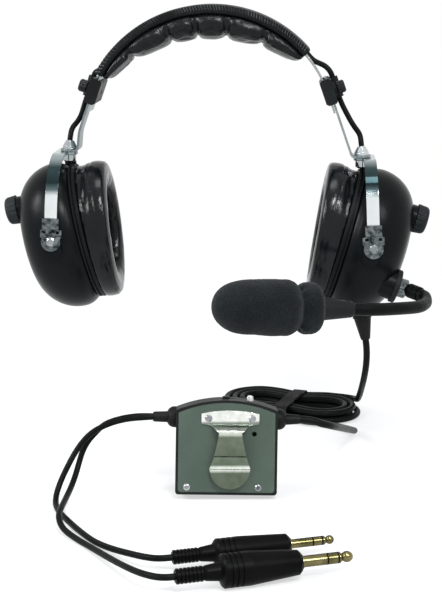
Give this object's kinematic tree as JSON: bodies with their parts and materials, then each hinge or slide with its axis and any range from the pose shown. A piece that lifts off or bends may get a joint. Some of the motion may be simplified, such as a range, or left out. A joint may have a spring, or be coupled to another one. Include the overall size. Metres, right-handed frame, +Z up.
{
  "type": "aviation headset",
  "caption": "Aviation headset with padded spring headband, oval ear cups on chrome stirrups, a boom microphone, and a down-lead through a clip-on module to two plugs.",
  "frame": {"origin": "middle of the wearer's head, on the line between the two ear cups", "axes": "+X to the wearer's left (the boom's side), +Y to the back of the head, +Z up"},
  "size_m": [0.2862, 0.3808, 0.3002],
  "materials": {
    "spring_steel": "satin spring steel",
    "cover_leather": "black grained leather with whip-stitched edges",
    "cushion_leather": "black glossy leather pillows",
    "cable_black": "glossy black cable jacket",
    "bracket_black": "black painted clamp",
    "thumb_screw": "black fluted thumb screw",
    "arm_steel": "satin steel strip",
    "chrome": "polished chrome plate",
    "clip_chrome": "stamped chrome plate",
    "dome_black": "black moulded plastic, half gloss",
    "baffle_black": "black moulded plastic",
    "seal_black": "glossy black vinyl over foam or gel",
    "liner_foam": "dark thin foam",
    "speaker": "dark speaker frame",
    "pot": "plated can",
    "knob_black": "black fluted knob",
    "boom_black": "black sleeve over a gooseneck",
    "mic_black": "black moulded plastic",
    "capsule": "small metal can",
    "foam": "dark open-cell foam",
    "cord_black": "glossy black jacket",
    "tie_black": "black strap",
    "shell_black": "black moulded plastic",
    "cover_grey": "grey-green satin paint",
    "clip_steel": "polished spring steel",
    "screw_steel": "small plated screws and rivets",
    "board": "green circuit board with a red lamp",
    "cell": "battery sleeve",
    "switch": "black slider",
    "plug_black": "black moulded grip",
    "contact_gold": "gold plated contacts"
  },
  "bodies": {
    "headband": {"headband_spring": "spring_steel", "head_pad_cover": "cover_leather", "head_pad_cushion": "cushion_leather", "crossover_cable": "cable_black", "slide_brackets": "bracket_black", "clamp_screws": "thumb_screw"},
    "left_arm": {"left_arm_strip": "arm_steel", "left_arm_cable": "cable_black", "left_yoke_stud": "chrome"},
    "left_yoke": {"left_stirrup": "chrome", "left_pivot_clips": "clip_chrome"},
    "left_cup": {"left_dome": "dome_black", "left_baffle": "baffle_black", "left_ear_seal": "seal_black", "left_foam_liner": "liner_foam", "left_speaker": "speaker", "left_volume_pot": "pot", "left_pivot_screws": "screw_steel", "left_dome_lead": "cable_black", "boom_mount": "mic_black", "strain_relief": "cord_black", "down_lead": "cord_black", "cord_hank": "cord_black", "hank_tie": "tie_black", "module_lead": "cord_black", "module_shell": "shell_black", "module_cover": "cover_grey", "belt_clip": "clip_steel", "module_screws": "screw_steel", "module_glands": "cord_black", "circuit_board": "board", "batteries": "cell", "phones_cord": "cord_black", "phones_plug_body": "plug_black", "phones_plug_contacts": "contact_gold", "mic_cord": "cord_black", "mic_plug_body": "plug_black", "mic_plug_contacts": "contact_gold"},
    "left_knob": {"left_volume_knob": "knob_black"},
    "right_arm": {"right_arm_strip": "arm_steel", "right_arm_cable": "cable_black", "right_yoke_stud": "chrome"},
    "right_yoke": {"right_stirrup": "chrome", "right_pivot_clips": "clip_chrome"},
    "right_cup": {"right_dome": "dome_black", "right_baffle": "baffle_black", "right_ear_seal": "seal_black", "right_foam_liner": "liner_foam", "right_speaker": "speaker", "right_volume_pot": "pot", "right_pivot_screws": "screw_steel", "right_dome_lead": "cable_black"},
    "right_knob": {"right_volume_knob": "knob_black"},
    "boom": {"boom_swivel": "chrome", "boom_tube": "boom_black", "mic_housing": "mic_black", "mic_capsule": "capsule", "windscreen": "foam"},
    "power_switch": {"power_switch": "switch"}
  },
  "joints": [
    {"name": "left_arm_slide", "type": "slide", "parent": "headband", "child": "left_arm", "axis": [-0.3338, 0, 0.9426], "range_m": [-0.012, 0.012], "deforming": ["left_arm_cable"]},
    {"name": "left_yoke_swivel", "type": "hinge", "parent": "left_arm", "child": "left_yoke", "pos_m": [0.09643, 0, 0.05314], "axis": [-0.0436, 0, 0.999], "range_deg": [-15, 15]},
    {"name": "left_cup_tilt", "type": "hinge", "parent": "left_yoke", "child": "left_cup", "pos_m": [0.1035, 0, -0.001], "axis": [0, 1, 0], "range_deg": [-10, 3], "deforming": ["left_dome_lead"]},
    {"name": "left_volume_turn", "type": "hinge", "parent": "left_cup", "child": "left_knob", "pos_m": [0.13254, 0, 0.01287], "axis": [0.9636, 0, -0.2672], "range_deg": [-140, 140]},
    {"name": "right_arm_slide", "type": "slide", "parent": "headband", "child": "right_arm", "axis": [0.3338, 0, 0.9426], "range_m": [-0.012, 0.012], "deforming": ["right_arm_cable"]},
    {"name": "right_yoke_swivel", "type": "hinge", "parent": "right_arm", "child": "right_yoke", "pos_m": [-0.09893, 0, 0.05614], "axis": [0.0436, 0, 0.999], "range_deg": [-15, 15]},
    {"name": "right_cup_tilt", "type": "hinge", "parent": "right_yoke", "child": "right_cup", "pos_m": [-0.106, 0, 0.002], "axis": [0, 1, 0], "range_deg": [-3, 10], "deforming": ["right_dome_lead"]},
    {"name": "right_volume_turn", "type": "hinge", "parent": "right_cup", "child": "right_knob", "pos_m": [-0.13415, 0, 0.01672], "axis": [-0.9744, 0, -0.225], "range_deg": [-140, 140]},
    {"name": "boom_swing", "type": "hinge", "parent": "left_cup", "child": "boom", "pos_m": [0.119, -0.02, -0.0296], "axis": [0.9511, 0, -0.309], "range_deg": [-60, 15]},
    {"name": "power_switch_slide", "type": "slide", "parent": "left_cup", "child": "power_switch", "axis": [0.9974, 0.0698, -0.0175], "range_m": [0, 0.003]}
  ]
}
